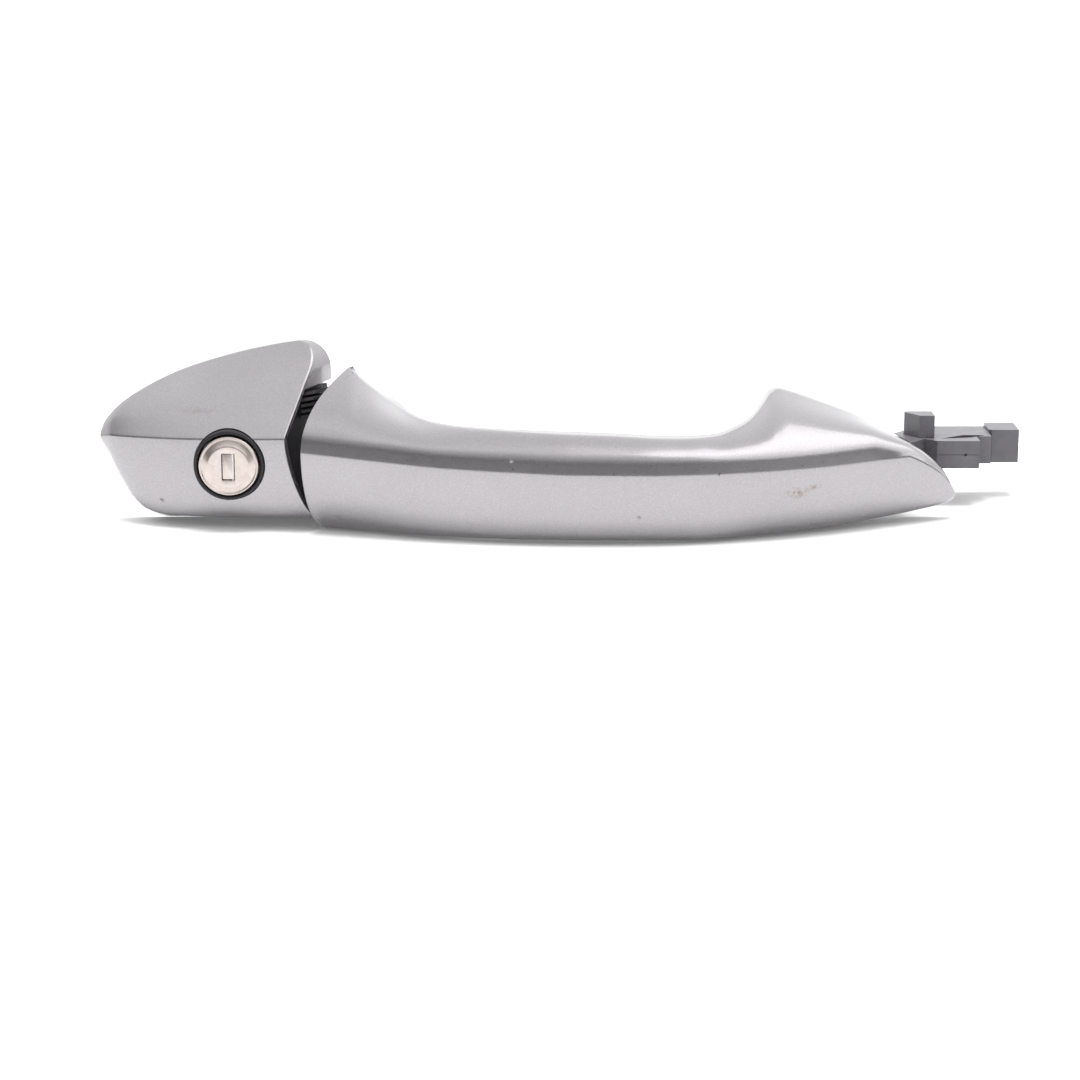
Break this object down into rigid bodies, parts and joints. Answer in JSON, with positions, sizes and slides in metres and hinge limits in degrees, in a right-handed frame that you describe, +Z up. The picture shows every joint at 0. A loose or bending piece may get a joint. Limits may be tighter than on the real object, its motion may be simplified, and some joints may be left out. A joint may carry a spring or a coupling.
{
  "type": "car door handle",
  "caption": "Exterior car door handle: a painted bow grip that hinges outwards, beside a pointed painted cap with a round key lock and sprung key flap.",
  "frame": {"origin": "centre of the cap carrier's lower seat pad, on the door-skin plane straight below the lock axis", "axes": "+X from the lock cap to the hinge end, +Y into the door, +Z up; the door skin is the plane y = 0"},
  "size_m": [0.2804, 0.0865, 0.0544],
  "materials": {
    "paint": "metallic silver-grey with clear coat",
    "core_plastic": "dark grey glass-filled moulding",
    "black_plastic": "black moulding, satin",
    "stainless": "warm satin stainless steel",
    "zinc": "die-cast zinc, matte",
    "brass": "stamped brass",
    "spring_steel": "plated steel",
    "rubber": "black rubber"
  },
  "bodies": {
    "cap": {"cap_shell": "paint", "cap_carrier": "black_plastic", "bezel_ring": "black_plastic", "lock_housing": "zinc", "cap_screw": "spring_steel", "retaining_ring": "spring_steel", "return_spring": "spring_steel"},
    "grip": {"grip_shell": "paint", "grip_back": "paint", "grip_core": "core_plastic", "grip_screw_1": "spring_steel", "grip_screw_2": "spring_steel", "stop_buffer_1": "rubber", "stop_buffer_2": "rubber"},
    "lock_plug": {"plug_cap": "stainless", "plug_core": "zinc", "plug_sleeve": "spring_steel", "plug_seal": "rubber", "shutter_pin": "spring_steel", "shutter_spring": "spring_steel", "tail_shaft": "zinc", "wafer_spring_1": "spring_steel", "wafer_spring_2": "spring_steel", "wafer_spring_3": "spring_steel", "wafer_spring_4": "spring_steel", "wafer_spring_5": "spring_steel", "wafer_spring_6": "spring_steel"},
    "flap": {"key_shutter": "stainless"},
    "wafers_up": {"wafer_1": "brass", "wafer_3": "brass", "wafer_5": "brass"},
    "wafers_down": {"wafer_2": "brass", "wafer_4": "brass", "wafer_6": "brass"}
  },
  "joints": [
    {"name": "grip_pull", "type": "hinge", "parent": "cap", "child": "grip", "pos_m": [0.2355, 0.03, 0.0124], "axis": [0, 0, 1], "range_deg": [0, 6], "stiffness_Nm_per_rad": 10, "springref_deg": -8.59},
    {"name": "lock_turn", "type": "hinge", "parent": "cap", "child": "lock_plug", "pos_m": [0, 0, 0.0164], "axis": [0, 1, 0], "range_deg": [-70, 70], "stiffness_Nm_per_rad": 0.02, "deforming": ["return_spring"]},
    {"name": "flap_open", "type": "hinge", "parent": "lock_plug", "child": "flap", "pos_m": [0.0013, -0.0225, 0.0164], "axis": [0, 0, -1], "range_deg": [0, 78], "stiffness_Nm_per_rad": 0.00005, "springref_deg": -22.92, "deforming": ["shutter_spring"]},
    {"name": "wafers_up_slide", "type": "slide", "parent": "lock_plug", "child": "wafers_up", "axis": [0, 0, -1], "range_m": [0, 0.0006], "stiffness_N_per_m": 50, "springref_m": -0.002, "deforming": ["wafer_spring_1", "wafer_spring_3", "wafer_spring_5"]},
    {"name": "wafers_down_slide", "type": "slide", "parent": "lock_plug", "child": "wafers_down", "axis": [0, 0, 1], "range_m": [0, 0.0006], "stiffness_N_per_m": 50, "springref_m": -0.002, "deforming": ["wafer_spring_2", "wafer_spring_4", "wafer_spring_6"]}
  ]
}
